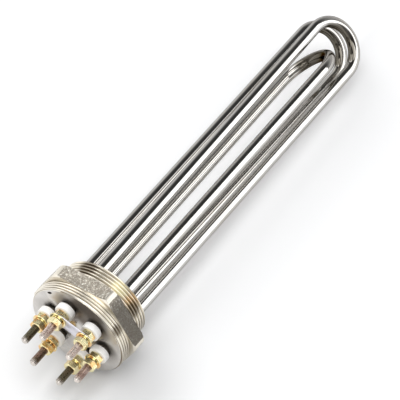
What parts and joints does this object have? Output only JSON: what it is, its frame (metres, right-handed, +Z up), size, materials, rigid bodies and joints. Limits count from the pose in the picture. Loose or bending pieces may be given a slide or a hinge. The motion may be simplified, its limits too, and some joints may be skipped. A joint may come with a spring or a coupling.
{
  "type": "screw plug immersion heater",
  "caption": "Immersion heater with stainless hairpin elements brazed into a threaded hexagon plug, and ceramic-insulated screw terminals on the plug's outer face.",
  "frame": {"origin": "centre of the hexagon's shoulder, where the tank thread starts", "axes": "+X along the heater from the plug towards the hairpin bends, +Z up through a flat of the hexagon"},
  "size_m": [0.3325, 0.0776, 0.0686],
  "materials": {
    "plug": "cast, turned and nickel plated",
    "sheath": "polished",
    "magnesia": "matt",
    "resistance_wire": "matt",
    "braze": "satin",
    "stud": "satin",
    "seal_resin": "matt",
    "insulator": "satin",
    "zinc_nut": "yellow passivated",
    "zinc_washer": "yellow passivated",
    "link": "satin"
  },
  "bodies": {
    "root": {"plug_body": "plug", "braze_fillets": "braze", "lower_nuts": "zinc_nut", "upper_nuts": "zinc_nut", "plain_washers": "zinc_washer", "spring_washers": "zinc_washer", "link_strip": "link", "element_sheath_1": "sheath", "magnesia_fill_1": "magnesia", "heating_coil_1": "resistance_wire", "element_sheath_2": "sheath", "magnesia_fill_2": "magnesia", "heating_coil_2": "resistance_wire", "element_sheath_3": "sheath", "magnesia_fill_3": "magnesia", "heating_coil_3": "resistance_wire", "terminal_pin_a": "stud", "end_seal_a": "seal_resin", "ceramic_insulator_a": "insulator", "terminal_pin_b": "stud", "end_seal_b": "seal_resin", "ceramic_insulator_b": "insulator", "terminal_pin_c": "stud", "end_seal_c": "seal_resin", "ceramic_insulator_c": "insulator", "terminal_pin_d": "stud", "end_seal_d": "seal_resin", "ceramic_insulator_d": "insulator", "terminal_pin_e": "stud", "end_seal_e": "seal_resin", "ceramic_insulator_e": "insulator", "terminal_pin_f": "stud", "end_seal_f": "seal_resin", "ceramic_insulator_f": "insulator"}
  },
  "joints": []
}
